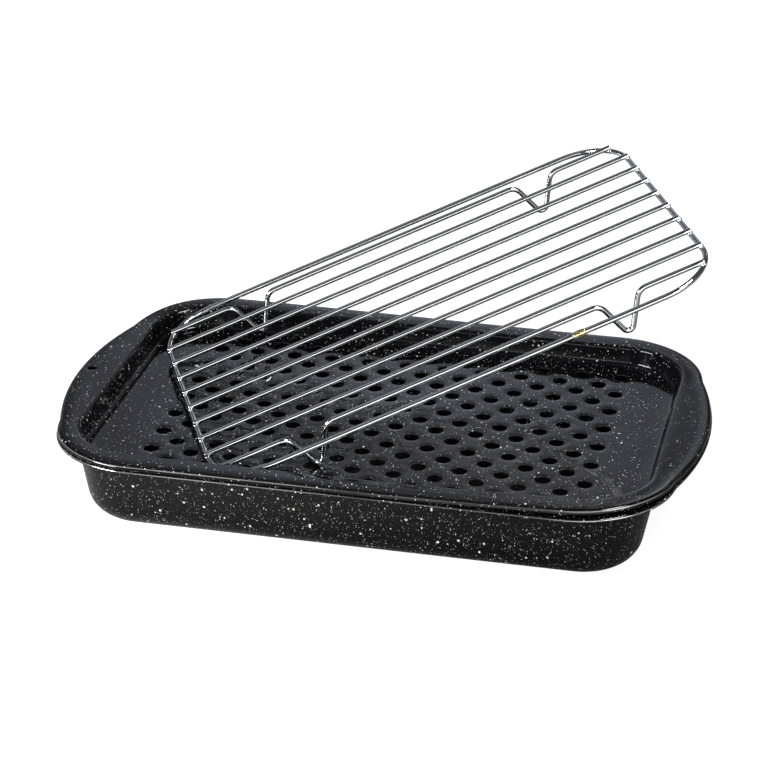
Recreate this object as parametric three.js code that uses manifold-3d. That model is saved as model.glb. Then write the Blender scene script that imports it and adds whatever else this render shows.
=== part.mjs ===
// Roasting set: a deep enamelled pan, a shallow perforated grill tray nested on its rim,
// and a welded wire rack that leans in the tray. Millimetres, +Z up, +X along the handles.
// The origin is the middle of the pan's underside.

import * as THREE from 'three';
import { mergeGeometries, mergeVertices } from 'three/addons/utils/BufferGeometryUtils.js';
import Module from 'manifold-3d';

// Pressed sheet, shared by the pan and the tray
const SHEET = 0.9;
const EDGE_RADIUS = 1.6;
const SHOULDER_RADIUS = 2.4;

// Rim of the pan: straight long sides, round corners, and a wide arc over each handle.
// The corners stand out past the handle's arc by a step, and a hollow neck leads from one to the other.
const RIM_LENGTH = 406.4;
const RIM_WIDTH = 254;
const RIM_CORNER_RADIUS = 60.5;
const RIM_CORNER_STEP = 2.3;
const RIM_NECK_RADIUS = 40;
const HANDLE_RADIUS = 221.6;

// Well of the pan, measured where its inner wall would meet the top of the rim
const PAN_HEIGHT = 51.7;
const PAN_MOUTH_LENGTH = 356.8;
const PAN_MOUTH_WIDTH = 224.2;
const PAN_CORNER_RADIUS = 42.7;
const PAN_DRAFT_DEG = 9.5;
const PAN_FLOOR_RADIUS = 15.6;
const PAN_LIP = 2;

// Grill tray: its mouth and its rim lie inside the pan's by these clearances
const TRAY_NEST_CLEARANCE = 2;
const TRAY_EDGE_INSET = 0.6;
const TRAY_DEPTH = 12.6;
const TRAY_DRAFT_DEG = 10;
const TRAY_FLOOR_RADIUS = 3.5;
const TRAY_LIP = 3;

// Staggered drain holes: rows half a pitch apart, every second row shifted by half a pitch
const HOLE_DIAMETER = 9.3;
const HOLE_PITCH = 25.4;
const HOLE_END_MARGIN = 28.5;
const HOLE_SIDE_MARGIN = 8.5;
const HOLE_PATTERN_SHIFT_X = 2.6;
const HANG_HOLE_DIAMETER = 6;
const HANG_HOLE_EDGE = 8;

// Rack: a round-cornered frame, straight wires across its ends, and two outer wires with V feet
const FRAME_WIRE = 3.6;
const CROSS_WIRE = 3.3;
const LEG_WIRE = 3.5;
const FRAME_LENGTH = 327.9;
const FRAME_WIDTH = 218.4;
const FRAME_CORNER_RADIUS = 37;
const CROSS_WIRE_COUNT = 8;
const WIRE_PITCH = 20.6;
const WIRE_OVERHANG = 1;
const FOOT_CENTRE = 102.5;
const FOOT_DEPTH = 24;
const FOOT_SPLAY_DEG = 24;
const FOOT_TIP_RADIUS = 3.5;
const FOOT_TOP_RADIUS = 8;
const WELD_SINK = 0.95;
const BUTT_LENGTH = 8;
const BUTT_SWELL = 0.5;
const BUTT_PLACE = 70;

// How the rack leans in the tray: one frame corner against the front wall, its low end near the left one
const RACK_END_GAP = 15;
const RACK_YAW_DEG = 25.5;
const RACK_TILT_DEG = 19.65;
const RACK_ROLL_DEG = 2.4;

// Gap between pieces that touch, and how far a cutter runs past the sheet that it pierces
const CONTACT_GAP = 0.3;
const CUT_MARGIN = 2;

// Facets
const HANDLE_STEPS = 4;
const NECK_STEPS = 2;
const CORNER_STEPS = 6;
const FILLET_STEPS = 4;
const BEND_STEPS = 3;
const WIRE_SIDES = 8;
const WIRE_BEND_STEP_DEG = 22.5;
const HOLE_SIDES = 8;
const MERGE_DISTANCE = 1e-4;

const rad = THREE.MathUtils.degToRad;
const wasm = await Module();
wasm.setup();

const enamel = new THREE.MeshStandardMaterial({ color: 0x17181b, roughness: 0.3, metalness: 0.1 });
const chrome = new THREE.MeshStandardMaterial({ color: 0xc9ccd1, roughness: 0.15, metalness: 1 });
const braze = new THREE.MeshStandardMaterial({ color: 0xb9963f, roughness: 0.3, metalness: 1 });

// Outlines in plan. A quarter runs from the middle of the end, +X, to the middle of the side, +Y,
// and both kinds have the same number of points, so that one can be lofted to the other.

function wellQuarter(well, inset) {
  const halfLength = well.length / 2 - inset;
  const halfWidth = well.width / 2 - inset;
  const radius = Math.max(well.cornerRadius - inset, SHEET);
  const points = [];
  const endSteps = HANDLE_STEPS + NECK_STEPS;
  for (let i = 0; i < endSteps; i += 1) {
    points.push(new THREE.Vector2(halfLength, ((halfWidth - radius) * i) / endSteps));
  }
  for (let i = 0; i <= CORNER_STEPS; i += 1) {
    const turn = (Math.PI / 2) * (i / CORNER_STEPS);
    points.push(new THREE.Vector2(
      halfLength - radius + radius * Math.cos(turn),
      halfWidth - radius + radius * Math.sin(turn),
    ));
  }
  points.push(new THREE.Vector2(0, halfWidth));
  return points;
}

function rimQuarter(rim, inset) {
  const handle = new THREE.Vector2(rim.length / 2 - rim.handleRadius, 0);
  const cornerY = rim.width / 2 - rim.cornerRadius;
  const apart = rim.handleRadius - rim.cornerRadius + RIM_CORNER_STEP;
  const corner = new THREE.Vector2(handle.x + Math.sqrt(apart ** 2 - cornerY ** 2), cornerY);

  // The neck's circle touches the handle's and the corner's from outside
  const toHandle = rim.handleRadius + rim.neckRadius;
  const toCorner = rim.cornerRadius + rim.neckRadius;
  const along = (toHandle ** 2 - toCorner ** 2 + apart ** 2) / (2 * apart);
  const aside = Math.sqrt(toHandle ** 2 - along ** 2);
  const way = corner.clone().sub(handle).normalize();
  const neck = new THREE.Vector2(
    handle.x + way.x * along + way.y * aside,
    handle.y + way.y * along - way.x * aside,
  );

  const handleTurn = neck.clone().sub(handle).angle();
  const cornerTurn = neck.clone().sub(corner).angle();
  const points = [];
  const arc = (centre, radius, from, to, steps) => {
    for (let i = 0; i < steps; i += 1) {
      const turn = from + (to - from) * (i / steps);
      points.push(new THREE.Vector2(centre.x + radius * Math.cos(turn), centre.y + radius * Math.sin(turn)));
    }
  };
  arc(handle, rim.handleRadius - inset, 0, handleTurn, HANDLE_STEPS);
  arc(neck, rim.neckRadius + inset, Math.PI + handleTurn, Math.PI + cornerTurn, NECK_STEPS);
  arc(corner, rim.cornerRadius - inset, cornerTurn, Math.PI / 2, CORNER_STEPS);
  points.push(new THREE.Vector2(corner.x, rim.width / 2 - inset));
  points.push(new THREE.Vector2(0, rim.width / 2 - inset));
  return points;
}

// The whole outline, mirrored from its quarter, at a height
function ringFromQuarter(quarter, z) {
  const mirrored = (signX, signY, list) => list.map((p) => new THREE.Vector3(signX * p.x, signY * p.y, z));
  const back = [...quarter].reverse();
  return [
    ...mirrored(1, 1, quarter),
    ...mirrored(-1, 1, back.slice(1)),
    ...mirrored(-1, -1, quarter.slice(1)),
    ...mirrored(1, -1, back.slice(1, -1)),
  ];
}

// One surface of a pressed dish, as rings from the floor's edge to the bottom of the turned-down lip.
// depth is 0 for the upper surface and the sheet's thickness for the lower one.
function dishRings(dish, depth) {
  const draft = rad(dish.draftDeg);
  const floorCentreZ = dish.floorTop + dish.floorRadius;
  const floorCentre = ((floorCentreZ - dish.rimTop) * Math.sin(draft) - dish.floorRadius) / Math.cos(draft);
  const shoulderCentre = (SHOULDER_RADIUS * (1 - Math.sin(draft))) / Math.cos(draft);
  const floorRadius = dish.floorRadius + depth;
  const shoulderRadius = SHOULDER_RADIUS - depth;
  const edgeRadius = EDGE_RADIUS - depth;
  const rings = [];
  for (let i = 0; i <= FILLET_STEPS; i += 1) {
    const turn = -Math.PI / 2 + (Math.PI / 2 - draft) * (i / FILLET_STEPS);
    const outward = floorCentre + floorRadius * Math.cos(turn);
    rings.push(ringFromQuarter(wellQuarter(dish.well, -outward), floorCentreZ + floorRadius * Math.sin(turn)));
  }
  for (let i = 0; i <= BEND_STEPS; i += 1) {
    const turn = Math.PI - draft - (Math.PI / 2 - draft) * (i / BEND_STEPS);
    const outward = shoulderCentre + shoulderRadius * Math.cos(turn);
    const z = dish.rimTop - SHOULDER_RADIUS + shoulderRadius * Math.sin(turn);
    rings.push(ringFromQuarter(wellQuarter(dish.well, -outward), z));
  }
  for (let i = 0; i <= BEND_STEPS; i += 1) {
    const turn = (Math.PI / 2) * (1 - i / BEND_STEPS);
    const inset = EDGE_RADIUS - edgeRadius * Math.cos(turn);
    const z = dish.rimTop - EDGE_RADIUS + edgeRadius * Math.sin(turn);
    rings.push(ringFromQuarter(rimQuarter(dish.rim, inset), z));
  }
  rings.push(ringFromQuarter(rimQuarter(dish.rim, depth), dish.rimTop - dish.lip));
  return rings;
}

// A closed body through a run of rings, with a flat face on the first and on the last
function loftedGeometry(rings) {
  const count = rings[0].length;
  const positions = [];
  const index = [];
  rings.forEach((ring) => ring.forEach((p) => positions.push(p.x, p.y, p.z)));
  for (let r = 0; r + 1 < rings.length; r += 1) {
    for (let i = 0; i < count; i += 1) {
      const next = (i + 1) % count;
      const a = r * count + i;
      const b = r * count + next;
      const c = a + count;
      const d = b + count;
      index.push(a, c, b, b, c, d);
    }
  }
  const capFirst = positions.length / 3;
  positions.push(0, 0, rings[0][0].z);
  const capLast = capFirst + 1;
  positions.push(0, 0, rings[rings.length - 1][0].z);
  const lastStart = (rings.length - 1) * count;
  for (let i = 0; i < count; i += 1) {
    const next = (i + 1) % count;
    index.push(capFirst, i, next);
    index.push(capLast, lastStart + next, lastStart + i);
  }
  const geometry = new THREE.BufferGeometry();
  geometry.setAttribute('position', new THREE.Float32BufferAttribute(positions, 3));
  geometry.setIndex(index);
  return geometry;
}

function pressedDish(dish) {
  const upper = dishRings(dish, 0);
  const lower = dishRings(dish, SHEET);
  return loftedGeometry([...upper, ...lower.reverse()]);
}

// Boolean cut

function solidOf(geometry) {
  const bare = geometry.clone();
  bare.deleteAttribute('normal');
  bare.deleteAttribute('uv');
  const merged = mergeVertices(bare, MERGE_DISTANCE);
  return new wasm.Manifold(new wasm.Mesh({
    numProp: 3,
    vertProperties: new Float32Array(merged.attributes.position.array),
    triVerts: new Uint32Array(merged.index.array),
  }));
}

function cut(geometry, cutters) {
  const mesh = solidOf(geometry).subtract(solidOf(mergeGeometries(cutters))).getMesh();
  const result = new THREE.BufferGeometry();
  result.setAttribute('position', new THREE.BufferAttribute(mesh.vertProperties, 3));
  result.setIndex(new THREE.BufferAttribute(mesh.triVerts, 1));
  return result;
}

function holeCutter(diameter, x, y, z) {
  const length = SHEET + 2 * CUT_MARGIN;
  const cutter = new THREE.CylinderGeometry(diameter / 2, diameter / 2, length, HOLE_SIDES);
  return cutter.rotateX(Math.PI / 2).translate(x, y, z);
}

// Pan

const panDish = {
  rim: {
    length: RIM_LENGTH,
    width: RIM_WIDTH,
    cornerRadius: RIM_CORNER_RADIUS,
    neckRadius: RIM_NECK_RADIUS,
    handleRadius: HANDLE_RADIUS,
  },
  well: { length: PAN_MOUTH_LENGTH, width: PAN_MOUTH_WIDTH, cornerRadius: PAN_CORNER_RADIUS },
  floorTop: SHEET,
  rimTop: PAN_HEIGHT,
  draftDeg: PAN_DRAFT_DEG,
  floorRadius: PAN_FLOOR_RADIUS,
  lip: PAN_LIP,
};

// Tray: its turned-down lip stands on the pan's rim

const trayRimTop = PAN_HEIGHT + CONTACT_GAP + TRAY_LIP;
const trayFloorTop = trayRimTop - TRAY_DEPTH;
const trayDish = {
  rim: {
    length: RIM_LENGTH - 2 * TRAY_EDGE_INSET,
    width: RIM_WIDTH - 2 * TRAY_EDGE_INSET,
    cornerRadius: RIM_CORNER_RADIUS - TRAY_EDGE_INSET,
    neckRadius: RIM_NECK_RADIUS + TRAY_EDGE_INSET,
    handleRadius: HANDLE_RADIUS - TRAY_EDGE_INSET,
  },
  well: {
    length: PAN_MOUTH_LENGTH - 2 * TRAY_NEST_CLEARANCE,
    width: PAN_MOUTH_WIDTH - 2 * TRAY_NEST_CLEARANCE,
    cornerRadius: PAN_CORNER_RADIUS - TRAY_NEST_CLEARANCE,
  },
  floorTop: trayFloorTop,
  rimTop: trayRimTop,
  draftDeg: TRAY_DRAFT_DEG,
  floorRadius: TRAY_FLOOR_RADIUS,
  lip: TRAY_LIP,
};

// As many holes as fit on the flat floor, in a diagonal lattice
function drainHoles(dish) {
  const wallRun = (dish.rimTop - dish.floorTop) * Math.tan(rad(dish.draftDeg));
  const flatLength = dish.well.length - 2 * (wallRun + dish.floorRadius);
  const flatWidth = dish.well.width - 2 * (wallRun + dish.floorRadius);
  const step = HOLE_PITCH / 2;
  const columns = Math.floor((flatLength - 2 * HOLE_END_MARGIN - HOLE_DIAMETER) / step) + 1;
  const rows = Math.floor((flatWidth - 2 * HOLE_SIDE_MARGIN - HOLE_DIAMETER) / step) + 1;
  const cutters = [];
  for (let row = 0; row < rows; row += 1) {
    for (let column = (row + 1) % 2; column < columns; column += 2) {
      const x = (column - (columns - 1) / 2) * step + HOLE_PATTERN_SHIFT_X;
      const y = (row - (rows - 1) / 2) * step;
      cutters.push(holeCutter(HOLE_DIAMETER, x, y, dish.floorTop - SHEET / 2));
    }
  }
  return cutters;
}

const hangHoleX = HANG_HOLE_EDGE - trayDish.rim.length / 2;
const hangHole = holeCutter(HANG_HOLE_DIAMETER, hangHoleX, 0, trayRimTop - SHEET / 2);

// Rack wires, laid out in the rack's own plane: +X along the wires, +Y to the back, +Z up

class BentWire extends THREE.Curve {
  constructor(stations) {
    super();
    this.stations = stations;
  }

  stationAt(t) {
    const place = t * (this.stations.length - 1);
    const i = Math.min(Math.floor(place), this.stations.length - 2);
    return { from: this.stations[i], to: this.stations[i + 1], share: place - i };
  }

  getPointAt(t, target = new THREE.Vector3()) {
    const { from, to, share } = this.stationAt(t);
    return target.lerpVectors(from.point, to.point, share);
  }

  getTangentAt(t, target = new THREE.Vector3()) {
    const { from, to, share } = this.stationAt(t);
    return target.lerpVectors(from.tangent, to.tangent, share).normalize();
  }
}

// Stations along straight runs between corners, with each inner corner bent to its radius
function bentPath(corners) {
  const points = corners.map((corner) => new THREE.Vector3(corner.x, corner.y, corner.z));
  const runs = points.slice(1).map((point, i) => point.clone().sub(points[i]).normalize());
  const stations = [{ point: points[0], tangent: runs[0] }];
  for (let i = 1; i + 1 < points.length; i += 1) {
    const [before, after] = [runs[i - 1], runs[i]];
    const turn = before.angleTo(after);
    const side = after.clone().addScaledVector(before, -Math.cos(turn)).normalize();
    const start = points[i].clone().addScaledVector(before, -corners[i].radius * Math.tan(turn / 2));
    const steps = Math.max(Math.round(turn / rad(WIRE_BEND_STEP_DEG)), 1);
    for (let k = 0; k <= steps; k += 1) {
      const angle = (turn * k) / steps;
      const point = start.clone()
        .addScaledVector(before, corners[i].radius * Math.sin(angle))
        .addScaledVector(side, corners[i].radius * (1 - Math.cos(angle)));
      const tangent = before.clone().multiplyScalar(Math.cos(angle)).addScaledVector(side, Math.sin(angle));
      stations.push({ point, tangent });
    }
  }
  stations.push({ point: points[points.length - 1], tangent: runs[runs.length - 1] });
  return new BentWire(stations);
}

// A round wire, as a prism whose flats are the wire's diameter apart
function wireGeometry(diameter, corners) {
  const path = bentPath(corners);
  const reach = diameter / 2 / Math.cos(Math.PI / WIRE_SIDES);
  const section = [];
  for (let i = 0; i < WIRE_SIDES; i += 1) {
    const turn = (2 * Math.PI * (i + 0.5)) / WIRE_SIDES;
    section.push(new THREE.Vector2(reach * Math.cos(turn), reach * Math.sin(turn)));
  }
  return new THREE.ExtrudeGeometry(new THREE.Shape(section), {
    steps: path.stations.length - 1,
    extrudePath: path,
    bevelEnabled: false,
  });
}

// The middle lines of the cross and leg wires lie in the rack's plane. Welding sinks them into the frame.
const frameZ = WELD_SINK - (CROSS_WIRE + FRAME_WIRE) / 2;
const halfFrameLength = FRAME_LENGTH / 2;
const halfFrameWidth = FRAME_WIDTH / 2;
const legOffset = (WIRE_PITCH * (CROSS_WIRE_COUNT + 1)) / 2;

// The frame is one wire, bent round and butted on its front side
function frameGeometry(diameter) {
  const halfGap = BUTT_LENGTH / 2 + CONTACT_GAP;
  const corner = (x, y) => ({ x, y, z: frameZ, radius: FRAME_CORNER_RADIUS });
  return wireGeometry(diameter, [
    { x: BUTT_PLACE + halfGap, y: -halfFrameWidth, z: frameZ },
    corner(halfFrameLength, -halfFrameWidth),
    corner(halfFrameLength, halfFrameWidth),
    corner(-halfFrameLength, halfFrameWidth),
    corner(-halfFrameLength, -halfFrameWidth),
    { x: BUTT_PLACE - halfGap, y: -halfFrameWidth, z: frameZ },
  ]);
}

// The underside of a wire that is welded down on the frame is hollowed to sit over it
function saddled(geometry) {
  return cut(geometry, [frameGeometry(FRAME_WIRE + 2 * CONTACT_GAP)]);
}

// The swollen joint between the frame wire's two ends
function buttWeldGeometry() {
  const radius = FRAME_WIRE / 2;
  const half = BUTT_LENGTH / 2;
  const profile = [
    new THREE.Vector2(0, -half),
    new THREE.Vector2(radius, -half),
    new THREE.Vector2(radius + BUTT_SWELL, -half / 2),
    new THREE.Vector2(radius + BUTT_SWELL, half / 2),
    new THREE.Vector2(radius, half),
    new THREE.Vector2(0, half),
  ];
  return new THREE.LatheGeometry(profile, 2 * WIRE_SIDES)
    .rotateZ(-Math.PI / 2)
    .translate(BUTT_PLACE, -halfFrameWidth, frameZ);
}

function crossWireGeometry(y) {
  const reach = halfFrameLength + WIRE_OVERHANG;
  return saddled(wireGeometry(CROSS_WIRE, [{ x: -reach, y, z: 0 }, { x: reach, y, z: 0 }]));
}

// An outer wire: it ends on the frame's corner bends and dips into two V feet
function legWireGeometry(y) {
  const acrossBend = Math.max(Math.abs(y) - (halfFrameWidth - FRAME_CORNER_RADIUS), 0);
  const alongBend = Math.sqrt(FRAME_CORNER_RADIUS ** 2 - acrossBend ** 2);
  const reach = halfFrameLength - FRAME_CORNER_RADIUS + alongBend + WIRE_OVERHANG;
  const splay = rad(FOOT_SPLAY_DEG);
  const tipDepth = FOOT_DEPTH + FOOT_TIP_RADIUS * (1 / Math.sin(splay) - 1);
  const halfMouth = tipDepth * Math.tan(splay);
  const foot = (x) => [
    { x: x - halfMouth, y, z: 0, radius: FOOT_TOP_RADIUS },
    { x, y, z: -tipDepth, radius: FOOT_TIP_RADIUS },
    { x: x + halfMouth, y, z: 0, radius: FOOT_TOP_RADIUS },
  ];
  return saddled(wireGeometry(LEG_WIRE, [
    { x: -reach, y, z: 0 },
    ...foot(-FOOT_CENTRE),
    ...foot(FOOT_CENTRE),
    { x: reach, y, z: 0 },
  ]));
}

// Assembly

function piece(name, geometry, material) {
  const mesh = new THREE.Mesh(geometry, material);
  mesh.name = name;
  if (!geometry.attributes.normal) {
    geometry.computeVertexNormals();
  }
  return mesh;
}

const rack = new THREE.Group();
rack.add(piece('frame_wire', frameGeometry(FRAME_WIRE), chrome));
rack.add(piece('frame_butt_weld', buttWeldGeometry(), braze));
for (let i = 0; i < CROSS_WIRE_COUNT; i += 1) {
  const y = ((CROSS_WIRE_COUNT - 1) / 2 - i) * WIRE_PITCH;
  rack.add(piece(`cross_wire_${i + 1}`, crossWireGeometry(y), chrome));
}
rack.add(piece('leg_wire_back', legWireGeometry(legOffset), chrome));
rack.add(piece('leg_wire_front', legWireGeometry(-legOffset), chrome));

// Every corner of the rack's wires, with the rack turned and moved as it stands
function rackPoints() {
  const points = [];
  rack.updateMatrixWorld(true);
  rack.children.forEach((mesh) => {
    const positions = mesh.geometry.attributes.position;
    for (let i = 0; i < positions.count; i += 1) {
      points.push(new THREE.Vector3().fromBufferAttribute(positions, i).applyMatrix4(mesh.matrixWorld));
    }
  });
  return points;
}

// The rack leans with its lowest wire on the tray's floor and its foremost wire at the front wall
function seatRack() {
  rack.rotation.set(rad(RACK_ROLL_DEG), -rad(RACK_TILT_DEG), rad(RACK_YAW_DEG), 'ZYX');
  const lowest = rackPoints().reduce((least, p) => Math.min(least, p.z), Infinity);
  rack.position.z = trayFloorTop + CONTACT_GAP - lowest;
  const inTray = rackPoints().filter((p) => p.z < trayRimTop);
  const wallSlope = Math.tan(rad(TRAY_DRAFT_DEG));
  const frontWall = (z) => (trayRimTop - z) * wallSlope - trayDish.well.width / 2;
  const leftEnd = inTray.reduce((least, p) => Math.min(least, p.x), Infinity);
  rack.position.x = RACK_END_GAP - trayDish.well.length / 2 - leftEnd;
  rack.position.y = inTray.reduce((most, p) => Math.max(most, frontWall(p.z) + CONTACT_GAP - p.y), -Infinity);
}

seatRack();

const roastingSet = new THREE.Group();
roastingSet.add(piece('pan', pressedDish(panDish), enamel));
roastingSet.add(piece('grill_tray', cut(pressedDish(trayDish), [...drainHoles(trayDish), hangHole]), enamel));
roastingSet.add(rack);

export default roastingSet;
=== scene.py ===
"""Looks of a roasting set: a speckled black enamel pan and grill tray, and a chrome wire rack.

Shapes are in millimetres in the frame of the CAD model, and become metres as each mesh is made. Lengths in
materials are in metres, and so are the places of lamps. A value fades in or out over a pair named a span.
"""
import math

import bmesh
import bpy
from mathutils import Matrix, Vector, noise
from mathutils.geometry import delaunay_2d_cdt


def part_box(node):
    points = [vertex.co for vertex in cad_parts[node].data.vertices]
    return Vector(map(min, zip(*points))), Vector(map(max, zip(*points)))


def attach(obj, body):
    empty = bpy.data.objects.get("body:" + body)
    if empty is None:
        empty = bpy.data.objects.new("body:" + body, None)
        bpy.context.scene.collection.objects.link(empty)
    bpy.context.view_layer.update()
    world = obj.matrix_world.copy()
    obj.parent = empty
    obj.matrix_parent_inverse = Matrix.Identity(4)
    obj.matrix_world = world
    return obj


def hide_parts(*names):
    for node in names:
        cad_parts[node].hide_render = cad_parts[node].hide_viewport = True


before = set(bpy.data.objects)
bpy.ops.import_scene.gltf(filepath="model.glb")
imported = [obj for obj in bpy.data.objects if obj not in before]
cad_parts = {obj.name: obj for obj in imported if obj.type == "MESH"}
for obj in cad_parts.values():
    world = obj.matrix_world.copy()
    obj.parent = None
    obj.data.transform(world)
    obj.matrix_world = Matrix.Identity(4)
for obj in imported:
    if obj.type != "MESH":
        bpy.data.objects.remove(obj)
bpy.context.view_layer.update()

MM = 0.001

# Pressed sheet, shared by the pan and the tray
SHEET = 0.9
SHOULDER_RADIUS = 2.4
CONTACT_GAP = 0.3

# Pan. A rim's corners stand out past the handle's arc by a step, with a hollow neck between them. edge is the
# radius of the bend at the rim's edge, and the last entry the turn along that bend where a highlight is
# painted on.
CORNER_STEP = 2.3
PAN_HEIGHT = 51.7
PAN_LIP = 2
PAN_RIM = {"length": 406.4, "width": 254, "corner": 60.5, "neck": 40, "handle": 221.6}
PAN_WELL = {"length": 356.8, "width": 224.2, "corner": 42.7}
PAN_DISH = {
    "rim": PAN_RIM, "well": PAN_WELL, "floor": SHEET, "top": PAN_HEIGHT,
    "draft": math.radians(9.5), "floor_radius": 15.6, "lip": PAN_LIP,
    "edge": 1.6, "bend_glint": math.radians(26),
}

# Grill tray, which lies inside the pan's mouth and rim by these clearances
NEST = 2
EDGE_INSET = 0.6
TRAY_LIP = 3
TRAY_DEPTH = 12.6
TRAY_TOP = PAN_HEIGHT + CONTACT_GAP + TRAY_LIP
TRAY_FLOOR = TRAY_TOP - TRAY_DEPTH
TRAY_RIM = {
    "length": PAN_RIM["length"] - 2 * EDGE_INSET,
    "width": PAN_RIM["width"] - 2 * EDGE_INSET,
    "corner": PAN_RIM["corner"] - EDGE_INSET,
    "neck": PAN_RIM["neck"] + EDGE_INSET,
    "handle": PAN_RIM["handle"] - EDGE_INSET,
}
TRAY_WELL = {
    "length": PAN_WELL["length"] - 2 * NEST,
    "width": PAN_WELL["width"] - 2 * NEST,
    "corner": PAN_WELL["corner"] - NEST,
}
TRAY_DISH = {
    "rim": TRAY_RIM, "well": TRAY_WELL, "floor": TRAY_FLOOR, "top": TRAY_TOP,
    "draft": math.radians(10), "floor_radius": 3.5, "lip": TRAY_LIP,
    "edge": 2.5, "bend_glint": math.radians(35),
}

# Drain holes: rows half a pitch apart, each shifted by half a pitch from the last
HOLE_RADIUS = 4.65
HOLE_STEP = 12.7
HOLE_COLUMNS = 22
HOLE_ROWS = 15
HOLE_SHIFT_X = 2.6
HANG_HOLE_RADIUS = 3
HANG_HOLE_INSET = 8
HANG_HOLE = (HANG_HOLE_INSET - TRAY_RIM["length"] / 2, 0)

# Rounded edges: a hole's upper edge, its bore's foot as pairs of a step outward and a height, and the lip's
# foot
HOLE_EASE = 0.3
HOLE_ROUND = 0.25
HOLE_ROUND_TURNS = (25, 50, 70, 90)
BORE_FOOT = ((0, -0.75), (0.1, -0.87))
LIP_ROUND = 0.38

# Unevenness of the tray's sheet: sunk edges of holes, a wavy floor, and a rim that is sprung up at two
# opposite corners, slightly crowned, and drooping at the right handle
DIMPLE_DEPTH = 0.2
DIMPLE_REACH = 1.8
FLOOR_WAVE = 0.2
FLOOR_WAVE_LENGTH = 27
FLOOR_WAVE_SEED = 3.7
FLOOR_EDGE_SPAN = (0, 12)
RIM_WAVE = 0.12
RIM_WAVE_LENGTH = 60
RIM_WAVE_SEED = 8.3
FRONT_SPRING = {"height": 2.7, "span_x": (20, 170), "span_y": (55, 105)}
BACK_SPRING = {"height": 2.2, "span_x": (-130, 130), "span_y": (80, 120)}
FLANGE_CROWN = 0.2
CROWN_REACH = 5
HANDLE_DROOP = 0.35
HANDLE_SPAN = (150, 178)
HANG_LEVEL_SPAN = (6, 16)

# Painted shade: the share of fleck brightness and gloss left on the pan's inner floor and on inner walls.
# Then the width of the painted highlight on a rim's edge, and where along the rim that highlight is strong
INSIDE_LIT_AND_GLOSSY = 0.3
WALL_LIT_AND_GLOSSY = 0.65
GLINT_WIDTH = 0.36
GLINT_MIDDLE = 0.2
GLINT_LEFT_END_SPAN = (-40, 10)
GLINT_RIGHT_START_SPAN = (110, 150)
GLINT_RIGHT_END_SPAN = (168, 195)
GLINT_FRONT_SPAN = (40, 95)
GLINT_HANDLE_SPAN = (165, 198)

# Rack
FRAME_WIRE = 3.6
CROSS_WIRE = 3.3
LEG_WIRE = 3.5
FRAME_LENGTH = 327.9
FRAME_WIDTH = 218.4
FRAME_CORNER = 37
CROSS_COUNT = 8
WIRE_PITCH = 20.6
WIRE_OVERHANG = 1
FOOT_CENTRE = 102.5
FOOT_DEPTH = 24
FOOT_SPLAY = math.radians(24)
FOOT_TIP_RADIUS = 3.5
FOOT_TOP_RADIUS = 8
RACK_YAW = math.radians(25.5)
RACK_TILT = math.radians(19.65)
RACK_ROLL = math.radians(2.4)
WELD_SINK = 0.95
FRAME_Z = WELD_SINK - (CROSS_WIRE + FRAME_WIRE) / 2
WIRE_BOW = 0.12
WIRE_BOW_LENGTH = 55
FRAME_SEED = 1
CROSS_SEED = 2
LEG_SEED = 20
SWAY_SEED = 40
WIRE_END_EASE = 0.45
WIRE_END_TURNS = (28, 55, 80)

# Lumps of metal where a wire sits on the frame, and the frame wire's butt joint
WELD_REACH = 1.9
WELD_MARGIN = 0.5
WELD_RISE = 1.15
WELD_HEIGHT = 1.1
WELD_BUMP = 0.22
WELD_BUMP_PACE = (1.7, 1.7, 2)
WELD_SEED_STEP = 3.1
BUTT_LENGTH = 8
BUTT_PLACE = 70
BUTT_LAP = 0.5
BUTT_SKIN = 0.13
BUTT_SWELL = 0.32
BUTT_SWELL_POWER = 0.6
BUTT_ROUGH = 0.16
BUTT_ROUGH_PACE = 0.9

# Fineness of the meshes, and how far their free points stay from holes and edges
HANDLE_STEPS = 14
NECK_STEPS = 6
CORNER_STEPS = 22
SIDE_STEPS = 18
FILLET_STEPS = 12
BEND_STEPS = 18
FLANGE_RINGS = 7
LIP_STEPS = 8
HOLE_SIDES = 24
HOLE_RINGS = (5.6, 6.5, 7.6, 8.8)
HANG_RING = 5
HANG_CLEAR = 6.5
PAN_FLOOR_SHARES = (0.3, 0.6, 0.85)
FLOOR_SPACING = 5
FLOOR_HOLE_CLEAR = 10.5
FLOOR_EDGE_CLEAR = 2.5
CUT_SLACK = 0.02
MERGE_DISTANCE = 1e-4
WHOLE_HULL = 0
WIRE_SIDES = 24
WIRE_SPACING = 10
WIRE_BEND_STEP = math.radians(6)
WELD_RINGS = 7
WELD_SIDES = 14
BUTT_STEPS = 24


def wave(x, y, length, seed):
    """Smooth unevenness between -1 and 1, with bumps about length apart."""
    return noise.noise(Vector((x / length, y / length, seed)))


def eased(value, low, high):
    """From 0 at low to 1 at high, with a smooth start and end."""
    share = min(max((value - low) / (high - low), 0), 1)
    return share * share * (3 - 2 * share)


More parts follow.
